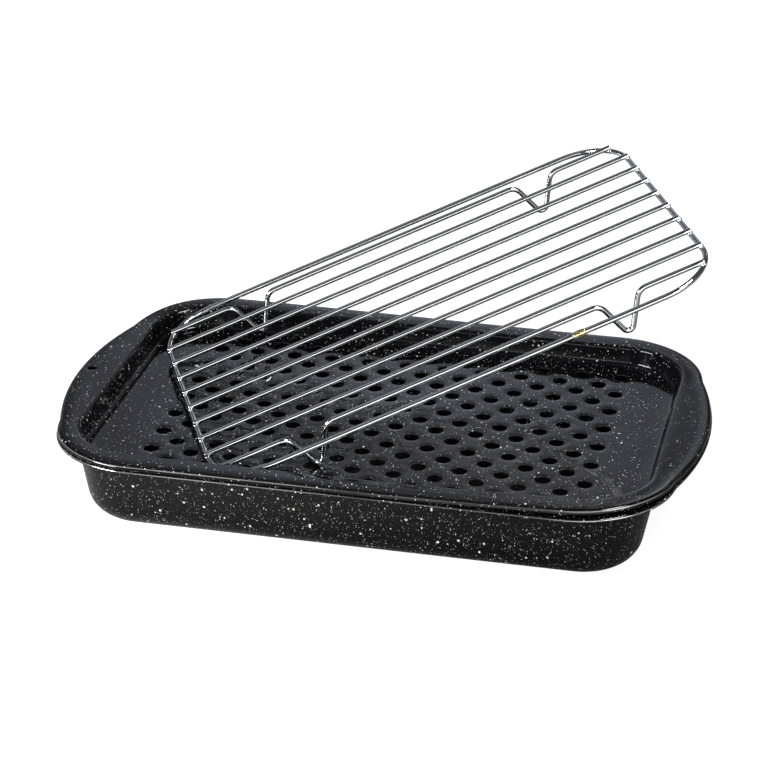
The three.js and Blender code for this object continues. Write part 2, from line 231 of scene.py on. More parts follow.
class Shell:
    """Points and faces of one mesh, built up loop by loop."""

    def __init__(self):
        self.points = []
        self.faces = []
        self.marks = {"painted_glint": [], "fresh": []}

    def add(self, points, painted_glint=None, fresh=1.0):
        """A loop's points, with a painted highlight and painted shade on flecks and gloss at each."""
        first = len(self.points)
        self.points += [Vector(p) for p in points]
        self.marks["painted_glint"] += painted_glint or [0.0] * len(points)
        self.marks["fresh"] += [fresh] * len(points)
        return list(range(first, len(self.points)))

    def join(self, first, second):
        """Quads between two closed loops of the same length."""
        for i, (a, b) in enumerate(zip(first, second)):
            self.faces.append((first[i - 1], a, b, second[i - 1]))

    def join_all(self, loops):
        for first, second in zip(loops, loops[1:]):
            self.join(first, second)

    def cap(self, loop):
        self.faces.append(tuple(loop))

    def close(self, loops):
        """A closed body from its loops, with a cap at each end."""
        self.join_all(loops)
        self.cap(loops[0])
        self.cap(loops[-1])

    def made(self, name, material, smooth=True):
        mesh = bpy.data.meshes.new(name)
        mesh.from_pydata([p * MM for p in self.points], [], self.faces)
        work = bmesh.new()
        work.from_mesh(mesh)
        bmesh.ops.recalc_face_normals(work, faces=work.faces)
        work.to_mesh(mesh)
        work.free()
        mesh.polygons.foreach_set("use_smooth", [smooth] * len(mesh.polygons))
        for mark, values in self.marks.items():
            mesh.attributes.new(mark, "FLOAT", "POINT").data.foreach_set("value", values)
        mesh.materials.append(material)
        obj = bpy.data.objects.new(name, mesh)
        bpy.context.collection.objects.link(obj)
        return obj


# Outlines in plan, a quarter at a time from +X to +Y. Both kinds have the same number of points.

def arc(x, y, radius, start, end, steps):
    turns = [start + (end - start) * i / steps for i in range(steps)]
    return [(x + radius * math.cos(turn), y + radius * math.sin(turn)) for turn in turns]


def circle(x, y, radius, sides):
    return arc(x, y, radius, 0, 2 * math.pi, sides)


def straight(start, end, steps):
    return [(start[0] + (end[0] - start[0]) * i / steps, start[1] + (end[1] - start[1]) * i / steps)
            for i in range(steps)]


def well_quarter(well, inset):
    a = well["length"] / 2 - inset
    b = well["width"] / 2 - inset
    r = well["corner"] - inset
    points = straight((a, 0), (a, b - r), HANDLE_STEPS + NECK_STEPS)
    points += arc(a - r, b - r, r, 0, math.pi / 2, CORNER_STEPS)
    return points + straight((a - r, b), (0, b), SIDE_STEPS) + [(0, b)]


def rim_quarter(rim, inset):
    handle = Vector((rim["length"] / 2 - rim["handle"], 0))
    corner_y = rim["width"] / 2 - rim["corner"]
    apart = rim["handle"] - rim["corner"] + CORNER_STEP
    corner = Vector((handle.x + math.sqrt(apart ** 2 - corner_y ** 2), corner_y))
    to_handle = rim["handle"] + rim["neck"]
    to_corner = rim["corner"] + rim["neck"]
    along = (to_handle ** 2 - to_corner ** 2 + apart ** 2) / (2 * apart)
    aside = math.sqrt(to_handle ** 2 - along ** 2)
    way = (corner - handle).normalized()
    neck = handle + way * along + Vector((way.y, -way.x)) * aside
    handle_turn = math.atan2(neck.y - handle.y, neck.x - handle.x)
    corner_turn = math.atan2(neck.y - corner.y, neck.x - corner.x)
    side = rim["width"] / 2 - inset
    points = arc(handle.x, 0, rim["handle"] - inset, 0, handle_turn, HANDLE_STEPS)
    points += arc(neck.x, neck.y, rim["neck"] + inset,
                  math.pi + handle_turn, math.pi + corner_turn, NECK_STEPS)
    points += arc(corner.x, corner.y, rim["corner"] - inset, corner_turn, math.pi / 2, CORNER_STEPS)
    return points + straight((corner.x, side), (0, side), SIDE_STEPS) + [(0, side)]


def ring_of(quarter, z):
    back = quarter[::-1]
    ring = [(x, y, z) for x, y in quarter]
    ring += [(-x, y, z) for x, y in back[1:]]
    ring += [(-x, -y, z) for x, y in quarter[1:]]
    return ring + [(x, -y, z) for x, y in back[1:-1]]


def wall_rings(dish, depth):
    """One surface from the floor's edge to the top of the shoulder, depth below the upper one."""
    draft = dish["draft"]
    fillet_z = dish["floor"] + dish["floor_radius"]
    fillet = ((fillet_z - dish["top"]) * math.sin(draft) - dish["floor_radius"]) / math.cos(draft)
    shoulder = SHOULDER_RADIUS * (1 - math.sin(draft)) / math.cos(draft)
    rings = []
    for i in range(FILLET_STEPS + 1):
        turn = -math.pi / 2 + (math.pi / 2 - draft) * i / FILLET_STEPS
        radius = dish["floor_radius"] + depth
        outward = fillet + radius * math.cos(turn)
        rings.append(ring_of(well_quarter(dish["well"], -outward), fillet_z + radius * math.sin(turn)))
    for i in range(BEND_STEPS + 1):
        turn = math.pi - draft - (math.pi / 2 - draft) * i / BEND_STEPS
        radius = SHOULDER_RADIUS - depth
        outward = shoulder + radius * math.cos(turn)
        z = dish["top"] - SHOULDER_RADIUS + radius * math.sin(turn)
        rings.append(ring_of(well_quarter(dish["well"], -outward), z))
    return rings


def glint_share(x, y):
    """The painted highlight's strength along the rim: most towards the two front corners."""
    left = 1 - (1 - GLINT_MIDDLE) * eased(x, *GLINT_LEFT_END_SPAN)
    right = eased(x, *GLINT_RIGHT_START_SPAN) * (1 - eased(x, *GLINT_RIGHT_END_SPAN))
    return max(left, right) * eased(-y, *GLINT_FRONT_SPAN) * (1 - eased(-x, *GLINT_HANDLE_SPAN))


def edge_rings(dish, depth):
    """The same surface over the rim's edge bend, as pairs of a ring and its points' painted highlight."""
    pairs = []
    radius = dish["edge"] - depth
    for i in range(BEND_STEPS + 1):
        turn = math.pi / 2 * (1 - i / BEND_STEPS)
        z = dish["top"] - dish["edge"] + radius * math.sin(turn)
        ring = ring_of(rim_quarter(dish["rim"], dish["edge"] - radius * math.cos(turn)), z)
        # A painted highlight across the bend, on the upper face only
        bend_glint = 1 - eased(abs(turn - dish["bend_glint"]) * radius, 0, GLINT_WIDTH) if depth == 0 else 0
        pairs.append((ring, [bend_glint * glint_share(x, y) for x, y, _ in ring]))
    return pairs


def lip_rings(dish):
    """The lip's rounded foot, from its outer to its inner side."""
    rings = []
    for i in range(LIP_STEPS + 1):
        turn = math.pi * i / LIP_STEPS
        inset = SHEET / 2 * (1 - math.cos(turn))
        z = dish["top"] - dish["lip"] + LIP_ROUND * (1 - math.sin(turn))
        rings.append(ring_of(rim_quarter(dish["rim"], inset), z))
    return rings


def between(first, last, share):
    return [tuple(p + (q - p) * share for p, q in zip(a, b)) for a, b in zip(first, last)]


def make_pan(material):
    shell = Shell()
    loops = []
    # Marks paint shade on the inner face's flecks, and on the floor's gloss, and a highlight on the rim's
    # edge
    for depth, floor_lit_and_glossy, wall_lit_and_glossy in ((0, INSIDE_LIT_AND_GLOSSY, WALL_LIT_AND_GLOSSY), (SHEET, 1, 1)):
        wall = wall_rings(PAN_DISH, depth)
        edge = edge_rings(PAN_DISH, depth)
        flange = [between(wall[-1], edge[0][0], i / (FLANGE_RINGS + 1)) for i in range(1, FLANGE_RINGS + 1)]
        floor = [[(x * share, y * share, z) for x, y, z in wall[0]] for share in PAN_FLOOR_SHARES]
        surface = [shell.add(ring, fresh=floor_lit_and_glossy) for ring in floor]
        surface += [shell.add(ring, fresh=wall_lit_and_glossy) for ring in wall]
        surface += [shell.add(ring) for ring in flange]
        surface += [shell.add(ring, painted_glint) for ring, painted_glint in edge]
        loops.append(surface)
    lip = [shell.add(ring) for ring in lip_rings(PAN_DISH)]
    shell.close(loops[0] + lip + loops[1][::-1])
    return shell.made("pan_shell", material)


# Grill tray

def hole_centres():
    centres = []
    for row in range(HOLE_ROWS):
        for column in range((row + 1) % 2, HOLE_COLUMNS, 2):
            x = (column - (HOLE_COLUMNS - 1) / 2) * HOLE_STEP + HOLE_SHIFT_X
            y = (row - (HOLE_ROWS - 1) / 2) * HOLE_STEP
            centres.append((x, y))
    return centres


def nearest_hole(x, y):
    """Distance to the middle of the nearest drain hole."""
    column = (x - HOLE_SHIFT_X) / HOLE_STEP + (HOLE_COLUMNS - 1) / 2
    row = y / HOLE_STEP + (HOLE_ROWS - 1) / 2
    best = math.inf
    for i in range(math.floor(column) - 1, math.floor(column) + 3):
        for j in range(math.floor(row) - 1, math.floor(row) + 3):
            if 0 <= i < HOLE_COLUMNS and 0 <= j < HOLE_ROWS and (i + j) % 2 == 1:
                best = min(best, math.hypot(column - i, row - j) * HOLE_STEP)
    return best


def inside_by(well, inset, x, y):
    """How far a point lies inside a well's outline."""
    r = well["corner"] - inset
    qx = abs(x) - (well["length"] / 2 - inset - r)
    qy = abs(y) - (well["width"] / 2 - inset - r)
    return r - math.hypot(max(qx, 0), max(qy, 0)) - min(max(qx, qy), 0)


def in_outline(loop, x, y):
    """Whether a point lies inside a closed outline."""
    inside = False
    for (ax, ay), (bx, by) in zip(loop, loop[1:] + loop[:1]):
        if (ay > y) != (by > y) and x < ax + (bx - ax) * (y - ay) / (by - ay):
            inside = not inside
    return inside


def rim_rise(x, y):
    """How far the tray's rim stands off its place: the thin sheet is sprung up at two opposite corners."""
    front = FRONT_SPRING["height"] * eased(x, *FRONT_SPRING["span_x"]) * eased(-y, *FRONT_SPRING["span_y"])
    back = BACK_SPRING["height"] * eased(-x, *BACK_SPRING["span_x"]) * eased(y, *BACK_SPRING["span_y"])
    return front + back + RIM_WAVE * (1 + wave(x, y, RIM_WAVE_LENGTH, RIM_WAVE_SEED))


def raised(ring, share):
    """A ring of the tray with its share of the rim's rise."""
    return [(x, y, z + share * rim_rise(x, y)) for x, y, z in ring]


def raised_wall(ring):
    return raised(ring, eased(ring[0][2], TRAY_FLOOR, TRAY_TOP - SHOULDER_RADIUS))


def floor_height(x, y, edge_inset):
    """The tray's floor: sunk round each hole, and slightly wavy away from its edge."""
    from_edge = eased(inside_by(TRAY_WELL, edge_inset, x, y), *FLOOR_EDGE_SPAN)
    clear = max(0, nearest_hole(x, y) - HOLE_RADIUS - HOLE_EASE)
    dimple = -DIMPLE_DEPTH * math.exp(-(clear / DIMPLE_REACH) ** 2)
    uneven = FLOOR_WAVE * wave(x, y, FLOOR_WAVE_LENGTH, FLOOR_WAVE_SEED)
    return TRAY_FLOOR + from_edge * (dimple + uneven)


def fill_sheet(shell, borders, holes, radius, free, height, keep):
    """Both faces of a level sheet between border loops, with rounded holes.

    borders are pairs of loops in the shell, on the upper and on the lower face. free are points to mesh
    through, as x, y and a lift above height. keep tells whether a triangle's middle belongs to the sheet.
    """
    flat = []
    edges = []
    upper_of = []
    lower_of = []
    for upper, lower in borders:
        first = len(flat)
        flat += [shell.points[k].xy for k in upper]
        upper_of += upper
        lower_of += lower
        edges += [(first + i, first + (i + 1) % len(upper)) for i in range(len(upper))]
    loops = []
    for x, y in holes:
        first = len(flat)
        flat += [Vector(p) for p in circle(x, y, radius + HOLE_EASE, HOLE_SIDES)]
        loops.append(range(first, len(flat)))
        edges += [(first + i, first + (i + 1) % HOLE_SIDES) for i in range(HOLE_SIDES)]
    first_free = len(flat)
    flat += [Vector((x, y)) for x, y, _ in free]
    found = delaunay_2d_cdt(flat, edges, [], WHOLE_HULL, MERGE_DISTANCE)
    places, triangles, origins = found[0], found[2], found[3]
    upper_at = {}
    lower_at = {}
    new_at = {}
    for k, (place, group) in enumerate(zip(places, origins)):
        border = [i for i in group if i < len(upper_of)]
        if border:
            upper_at[k] = upper_of[border[0]]
            lower_at[k] = lower_of[border[0]]
        else:
            lift = max((free[i - first_free][2] for i in group if i >= first_free), default=0)
            z = height(place.x, place.y) + lift
            upper_at[k] = shell.add([(place.x, place.y, z)])[0]
            lower_at[k] = shell.add([(place.x, place.y, z - SHEET)])[0]
        for i in group:
            new_at[i] = k
    for triangle in triangles:
        middle = sum((places[k] for k in triangle), Vector((0, 0))) / 3
        if keep(middle.x, middle.y):
            shell.faces.append(tuple(upper_at[k] for k in triangle))
            shell.faces.append(tuple(lower_at[k] for k in reversed(triangle)))

    # The bore of each hole, rounded over at its upper edge and eased at its lower one. Painted shade takes
    # the flecks and gloss off its own rings.
    section = []
    for turn in map(math.radians, HOLE_ROUND_TURNS):
        section.append((HOLE_EASE * (1 - math.sin(turn)), HOLE_ROUND * (math.cos(turn) - 1)))
    section += BORE_FOOT
    for (x, y), loop in zip(holes, loops):
        above = [upper_at[new_at[i]] for i in loop]
        below = [lower_at[new_at[i]] for i in loop]
        z = shell.points[above[0]].z
        bore = [above]
        for outward, drop in section:
            ring = [(px, py, z + drop) for px, py in circle(x, y, radius + outward, HOLE_SIDES)]
            bore.append(shell.add(ring, fresh=0))
        shell.join_all(bore + [below])


def cut_reach(radius):
    """How near a triangle of the sheet may come to the middle of a hole of this radius."""
    return (radius + HOLE_EASE) * math.cos(math.pi / HOLE_SIDES) - CUT_SLACK


def fill_floor(shell, upper, lower):
    """The tray's perforated floor inside the lowest loops of its wall."""
    edge_inset = TRAY_WELL["length"] / 2 - max(shell.points[k].x for k in upper)
    holes = hole_centres()
    free = []
    for x, y in holes:
        for radius in HOLE_RINGS:
            free += [(px, py, 0) for px, py in circle(x, y, radius, HOLE_SIDES)]
    reach_x = int(TRAY_WELL["length"] / 2 / FLOOR_SPACING)
    reach_y = int(TRAY_WELL["width"] / 2 / FLOOR_SPACING)
    for i in range(-reach_x, reach_x + 1):
        for j in range(-reach_y, reach_y + 1):
            x = i * FLOOR_SPACING
            y = j * FLOOR_SPACING
            from_edge = inside_by(TRAY_WELL, edge_inset, x, y)
            if nearest_hole(x, y) > FLOOR_HOLE_CLEAR and from_edge > FLOOR_EDGE_CLEAR:
                free.append((x, y, 0))
    cut = cut_reach(HOLE_RADIUS)
    fill_sheet(shell, [(upper, lower)], holes, HOLE_RADIUS, free,
               lambda x, y: floor_height(x, y, edge_inset),
               lambda x, y: nearest_hole(x, y) > cut)


def flange_lift(share, width, x, y):
    """The crown of the tray's rim at a share of its width, level round the hanging hole."""
    rise = eased(share * width, 0, width - CROWN_REACH)
    fall = max(0, 1 - (1 - share) * width / CROWN_REACH) ** 2
    crown = FLANGE_CROWN - (FLANGE_CROWN + HANDLE_DROOP) * eased(x, *HANDLE_SPAN)
    return (crown * rise - FLANGE_CROWN * fall) * eased(math.dist((x, y), HANG_HOLE), *HANG_LEVEL_SPAN)


def fill_flange(shell, shoulder, edge):
    """The tray's flat rim between pairs of loops, on its upper and lower face."""
    inner = [tuple(shell.points[k].xy) for k in shoulder[0]]
    outer = [tuple(shell.points[k].xy) for k in edge[0]]
    free = [(x, y, 0) for x, y in circle(*HANG_HOLE, HANG_RING, HOLE_SIDES)]
    for i in range(1, FLANGE_RINGS + 1):
        share = i / (FLANGE_RINGS + 1)
        for start, end, (x, y) in zip(inner, outer, between(inner, outer, share)):
            if math.dist((x, y), HANG_HOLE) > HANG_CLEAR:
                free.append((x, y, flange_lift(share, math.dist(start, end), x, y)))
    cut = cut_reach(HANG_HOLE_RADIUS)
    fill_sheet(shell, [shoulder, edge], [HANG_HOLE], HANG_HOLE_RADIUS, free,
               lambda x, y: TRAY_TOP + rim_rise(x, y),
               lambda x, y: (math.dist((x, y), HANG_HOLE) > cut
                             and in_outline(outer, x, y) and not in_outline(inner, x, y)))


def make_tray(material):
    shell = Shell()
    # Marks paint shade on the inner wall's flecks and a highlight on the rim's edge
    upper = [shell.add(raised_wall(ring), fresh=WALL_LIT_AND_GLOSSY) for ring in wall_rings(TRAY_DISH, 0)]
    lower = [shell.add(raised_wall(ring)) for ring in wall_rings(TRAY_DISH, SHEET)]
    upper_edge = [shell.add(raised(ring, 1), painted_glint) for ring, painted_glint in edge_rings(TRAY_DISH, 0)]
    lower_edge = [shell.add(raised(ring, 1), painted_glint) for ring, painted_glint in edge_rings(TRAY_DISH, SHEET)]
    lip = [shell.add(raised(ring, 1)) for ring in lip_rings(TRAY_DISH)]
    for loops in (upper, lower, upper_edge + lip + lower_edge[::-1]):
        shell.join_all(loops)
    fill_floor(shell, upper[0], lower[0])
    fill_flange(shell, (upper[-1], lower[-1]), (upper_edge[0], lower_edge[0]))
    return shell.made("tray_shell", material)


# Rack

def bent_path(corners):
    """(point, tangent) stations along straight runs, with each inner corner (point, radius) bent round."""
    points = [Vector(c[0]) for c in corners]
    runs = [(b - a).normalized() for a, b in zip(points, points[1:])]
    stations = [(points[0], runs[0])]
    for i in range(1, len(points) - 1):
        before, after = runs[i - 1], runs[i]
        radius = corners[i][1]
        turn = before.angle(after)
        side = (after - before * math.cos(turn)).normalized()
        start = points[i] - before * radius * math.tan(turn / 2)
        steps = max(2, math.ceil(turn / WIRE_BEND_STEP))
        for k in range(steps + 1):
            angle = turn * k / steps
            place = start + before * radius * math.sin(angle) + side * radius * (1 - math.cos(angle))
            stations.append((place, before * math.cos(angle) + side * math.sin(angle)))
    stations.append((points[-1], runs[-1]))
    return stations


def spaced(stations):
    """The same path with stations no further apart than the wire's spacing."""
    path = []
    for (place, tangent), (following, turned) in zip(stations, stations[1:]):
        steps = max(1, math.ceil((following - place).length / WIRE_SPACING))
        for k in range(steps):
            share = k / steps
            path.append((place.lerp(following, share), tangent.lerp(turned, share).normalized()))
    return path + [stations[-1]]


def wire_end(tip, outward, way):
    """Rings that round off a wire's end, from its body to its tip: place, tangent and loss of radius."""
    rings = []
    for turn in map(math.radians, WIRE_END_TURNS):
        inward = WIRE_END_EASE * (1 - math.sin(turn))
        rings.append((tip - outward * inward, way, WIRE_END_EASE * (1 - math.cos(turn))))
    return rings


def wire(corners, radius, across, seed):
    """A round wire with eased ends, bowed a little to and fro as drawn wire is."""
    path = spaced(bent_path(corners))
    (start, start_way), (end, end_way) = path[0], path[-1]
    path[0] = (start + start_way * WIRE_END_EASE, start_way)
    path[-1] = (end - end_way * WIRE_END_EASE, end_way)
    rings = wire_end(start, -start_way, start_way)[::-1]
    rings += [(place, way, 0) for place, way in path]
    rings += wire_end(end, end_way, end_way)
    shell = Shell()
    loops = []
    for place, way, less in rings:
        out = way.cross(across).normalized()
        bow = WIRE_BOW * wave(place.x, place.y, WIRE_BOW_LENGTH, seed)
        sway = WIRE_BOW * wave(place.x, place.y, WIRE_BOW_LENGTH, seed + SWAY_SEED)
        middle = place + out * bow + across * sway
        loop = [middle + out * (radius - less) * x + across * (radius - less) * y
                for x, y in circle(0, 0, 1, WIRE_SIDES)]
        loops.append(shell.add([RACK @ p for p in loop]))
    shell.close(loops)
    return shell


def rack_matrix():
    """From the rack's own plane to the row frame. The frame wire's box has the frame's middle at its own."""
    turn = (Matrix.Rotation(RACK_YAW, 4, "Z") @ Matrix.Rotation(-RACK_TILT, 4, "Y")
            @ Matrix.Rotation(RACK_ROLL, 4, "X"))
    low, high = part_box("frame_wire")
    middle = (Vector(low) + Vector(high)) / 2 / MM
    return Matrix.Translation(middle - turn @ Vector((0, 0, FRAME_Z))) @ turn


def rack_piece(name, shell, material, slot, *nodes):
    obj = shell.made(name, material)
    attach(obj, "rack_body")
    if nodes:
        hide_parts(*nodes)


def frame_corners():
    gap = BUTT_LENGTH / 2 - BUTT_LAP
    a = FRAME_LENGTH / 2
    b = FRAME_WIDTH / 2
    plan = [(BUTT_PLACE + gap, -b), (a, -b), (a, b), (-a, b), (-a, -b), (BUTT_PLACE - gap, -b)]
    return [((x, y, FRAME_Z), FRAME_CORNER) for x, y in plan]


def frame_reach(y):
    """Half the frame's length at a distance y from its middle line."""
    past = max(abs(y) - (FRAME_WIDTH / 2 - FRAME_CORNER), 0)
    return FRAME_LENGTH / 2 - FRAME_CORNER + math.sqrt(FRAME_CORNER ** 2 - past ** 2)


def leg_corners(y):
    reach = frame_reach(y) + WIRE_OVERHANG
    depth = FOOT_DEPTH + FOOT_TIP_RADIUS * (1 / math.sin(FOOT_SPLAY) - 1)
    mouth = depth * math.tan(FOOT_SPLAY)
    corners = [((-reach, y, 0), 0)]
    for x in (-FOOT_CENTRE, FOOT_CENTRE):
        corners.append(((x - mouth, y, 0), FOOT_TOP_RADIUS))
        corners.append(((x, y, -depth), FOOT_TIP_RADIUS))
        corners.append(((x + mouth, y, 0), FOOT_TOP_RADIUS))
    return corners + [((reach, y, 0), 0)]


def add_weld(shell, x, y, thickness, seed):
    """Squeezed-out metal where a wire sits on the frame: a low uneven lump wider than the wire."""
    loops = []
    for i in range(WELD_RINGS):
        level = -1 + 2 * (i + 0.5) / WELD_RINGS
        girth = math.sqrt(1 - level ** 2)
        loop = []
        for c, s in circle(0, 0, 1, WELD_SIDES):
            spot = Vector((c, s, level)) * Vector(WELD_BUMP_PACE) + Vector((seed, 0, 0))
            bump = 1 + WELD_BUMP * noise.noise(spot)
            px = x + WELD_REACH * girth * bump * c
            py = y + (thickness / 2 + WELD_MARGIN) * girth * bump * s
            loop.append(RACK @ Vector((px, py, FRAME_Z + WELD_RISE + WELD_HEIGHT * level * bump)))
        loops.append(shell.add(loop))
    shell.close(loops)


def butt_weld():
    """The frame wire's two ends, joined with a slightly swollen rough collar."""
    shell = Shell()
    loops = []
    for i in range(BUTT_STEPS + 1):
        share = i / BUTT_STEPS
        along = BUTT_PLACE + BUTT_LENGTH * (share - 0.5)
        fade = math.sin(math.pi * share)
        swell = BUTT_SWELL * fade ** BUTT_SWELL_POWER
        loop = []
        for c, s in circle(0, 0, 1, WIRE_SIDES):
            rough = BUTT_ROUGH * noise.noise(Vector((along * BUTT_ROUGH_PACE, c, s))) * fade
            size = FRAME_WIRE / 2 + swell + rough + BUTT_SKIN
            loop.append(RACK @ Vector((along, -FRAME_WIDTH / 2 + size * c, FRAME_Z + size * s)))
        loops.append(shell.add(loop))
    shell.close(loops)
    return shell


def make_rack(chrome, braze):
    up = Vector((0, 0, 1))
    across = Vector((0, 1, 0))
    shell = wire(frame_corners(), FRAME_WIRE / 2, up, FRAME_SEED)
    rack_piece("rack_frame", shell, chrome, "chrome", "frame_wire")
    places = []
    for i in range(CROSS_COUNT):
        y = ((CROSS_COUNT - 1) / 2 - i) * WIRE_PITCH
        reach = frame_reach(y) + WIRE_OVERHANG
        shell = wire([((-reach, y, 0), 0), ((reach, y, 0), 0)], CROSS_WIRE / 2, across, CROSS_SEED + i)
        rack_piece(f"rack_cross_{i + 1}", shell, chrome, "chrome", f"cross_wire_{i + 1}")
        places.append((y, CROSS_WIRE))
    offset = WIRE_PITCH * (CROSS_COUNT + 1) / 2
    for name, y in (("back", offset), ("front", -offset)):
        shell = wire(leg_corners(y), LEG_WIRE / 2, across, LEG_SEED + y)
        rack_piece(f"rack_leg_{name}", shell, chrome, "chrome", f"leg_wire_{name}")
        places.append((y, LEG_WIRE))

    welds = Shell()
    for i, (y, thickness) in enumerate(places):
        add_weld(welds, -frame_reach(y), y, thickness, 2 * i * WELD_SEED_STEP)
        add_weld(welds, frame_reach(y), y, thickness, (2 * i + 1) * WELD_SEED_STEP)
    rack_piece("rack_welds", welds, chrome, "chrome")
    rack_piece("rack_butt_weld", butt_weld(), braze, "braze", "frame_butt_weld")


# Materials

class Nodes:
    """A node tree, with short calls to add and link nodes."""

    def __init__(self, tree):
        self.tree = tree
        tree.nodes.clear()

    def add(self, kind, **settings):
        node = self.tree.nodes.new(kind)
        for key, value in settings.items():
            setattr(node, key, value)
        return node

    def link(self, source, target):
        self.tree.links.new(source, target)

    def feed(self, socket, value):
        """A link into a socket, or a constant set on it."""
        if isinstance(value, bpy.types.NodeSocket):
            self.link(value, socket)
        else:
            socket.default_value = value

    def math(self, operation, first, second):
        node = self.add("ShaderNodeMath", operation=operation)
        self.feed(node.inputs[0], first)
        self.feed(node.inputs[1], second)
        return node.outputs[0]

    def product(self, first, *others):
        for other in others:
            first = self.math("MULTIPLY", first, other)
        return first

    def remap(self, value, low, high, to_low, to_high):
        node = self.add("ShaderNodeMapRange", interpolation_type="SMOOTHSTEP")
        self.link(value, node.inputs["Value"])
        node.inputs["From Min"].default_value = low
        node.inputs["From Max"].default_value = high
        node.inputs["To Min"].default_value = to_low
        node.inputs["To Max"].default_value = to_high
        return node.outputs["Result"]

    def rising(self, value, span):
        return self.remap(value, *span, 0, 1)

    def falling(self, value, span):
        return self.remap(value, *span, 1, 0)

    def off(self, value, middle):
        """How far a value is from a middle one."""
        return self.math("ABSOLUTE", self.math("SUBTRACT", value, middle), 0)

    def distance(self, place, point):
        node = self.add("ShaderNodeVectorMath", operation="DISTANCE")
        self.link(place, node.inputs[0])
        node.inputs[1].default_value = point
        return node.outputs["Value"]

    def mix(self, share, first, second):
        node = self.add("ShaderNodeMix", data_type="RGBA")
        self.feed(node.inputs["Factor"], share)
        self.feed(node.inputs["A"], first)
        self.feed(node.inputs["B"], second)
        return node.outputs["Result"]

    def noise(self, place, scale, detail):
        node = self.add("ShaderNodeTexNoise")
        node.inputs["Scale"].default_value = scale
        node.inputs["Detail"].default_value = detail
        self.link(place, node.inputs["Vector"])
        return node

    def mark(self, name):
        """A value that the mesh holds at each point."""
        return self.add("ShaderNodeAttribute", attribute_name=name).outputs["Fac"]

    def place(self):
        return self.add("ShaderNodeTexCoord").outputs["Object"]

    def split(self, place):
        """The X, Y and Z of a place or direction."""
        node = self.add("ShaderNodeSeparateXYZ")
        self.link(place, node.inputs["Vector"])
        return [node.outputs[axis] for axis in "XYZ"]

    def principled(self, **inputs):
        output = self.add("ShaderNodeOutputMaterial")
        shader = self.add("ShaderNodeBsdfPrincipled")
        self.link(shader.outputs["BSDF"], output.inputs["Surface"])
        for name, value in inputs.items():
            self.feed(shader.inputs[name.replace("_", " ")], value)


# Scales of noise are about its bumps per metre. Most of its values lie within this span.
NOISE_SPAN = (0.3, 0.7)

# Enamel. Each layer of flecks is (cells per metre, largest radius, smallest radius).
PAN_FLECKS = ((320, 0.00085, 0.00003), (640, 0.00034, 0.00004), (1200, 0.00024, 0.00008))
TRAY_FLECKS = ((280, 0.00068, 0.00004), (560, 0.00042, 0.00004), (900, 0.0003, 0.00006))
FLECK_RARITY = 5.0
FLECK_EDGE = 0.00004
FLECK_DULLEST = 0.6
FLECK_RAGGED = 0.0007
FLECK_RAGGED_SCALE = 1100
FLECK_COLOUR = (0.97, 0.97, 0.93, 1)
FLECK_FADE_SPAN = (0.15, 0.18)
TRAY_HANDLE_FLECKS = 0.35
CLOUD_SCALE = 45
GROUND_DARK = (0.0015, 0.0015, 0.0017, 1)
GROUND_PALE = (0.0034, 0.0034, 0.004, 1)
GLOSS_ROUGHNESS = (0.05, 0.09)
DULL_ROUGHNESS = 0.3
DULL_SPAN = (0.35, 0.6)
ENAMEL_IOR = 1.42
RIPPLE_SCALE = 240
RIPPLE_DEPTH = 0.0004
RIPPLE_STRENGTH = 0.05
# The painted highlight on rims' edges: its colour, metallic sheen, and patchy strength along the rim
GLINT_COLOUR = (0.62, 0.62, 0.6, 1)
GLINT_SHEEN = 0.7
GLINT_PATCHES = (0.5, 1)
GLINT_PATCH_SCALE = 16
GLINT_PATCH_SPAN = (0.35, 0.65)

# Wire and its joint: colours and roughness, from one end of the noise to the other
CHROME_DARK = (0.72, 0.73, 0.75, 1)
CHROME_PALE = (0.84, 0.85, 0.87, 1)
CHROME_ROUGHNESS = (0.05, 0.11)
CHROME_SCALE = 120
BRASS_DARK = (0.82, 0.64, 0.26, 1)
BRASS_PALE = (0.88, 0.8, 0.55, 1)
BRASS_ROUGHNESS = (0.16, 0.32)
BRASS_SCALE = 420
BRASS_SPAN = (0.42, 0.62)


def new_material(name):
    material = bpy.data.materials.new(name)
    material.use_nodes = True
    return material, Nodes(material.node_tree)


def speckle_layer(nodes, place, cells_per_m, largest, smallest):
    """Round flecks of a random radius, in metres, and a random brightness, with 0 between them."""
    cells = nodes.add("ShaderNodeTexVoronoi", voronoi_dimensions="3D", feature="F1")
    cells.inputs["Scale"].default_value = cells_per_m
    nodes.link(place, cells.inputs["Vector"])
    split = nodes.add("ShaderNodeSeparateColor")
    nodes.link(cells.outputs["Color"], split.inputs["Color"])
    chance = nodes.math("POWER", split.outputs["Red"], FLECK_RARITY)
    size = nodes.remap(chance, 0, 1, smallest * cells_per_m, largest * cells_per_m)
    inside = nodes.math("SUBTRACT", size, cells.outputs["Distance"])
    fleck = nodes.remap(inside, 0, FLECK_EDGE * cells_per_m, 0, 1)
    return nodes.product(fleck, nodes.remap(split.outputs["Green"], 0, 1, FLECK_DULLEST, 1))


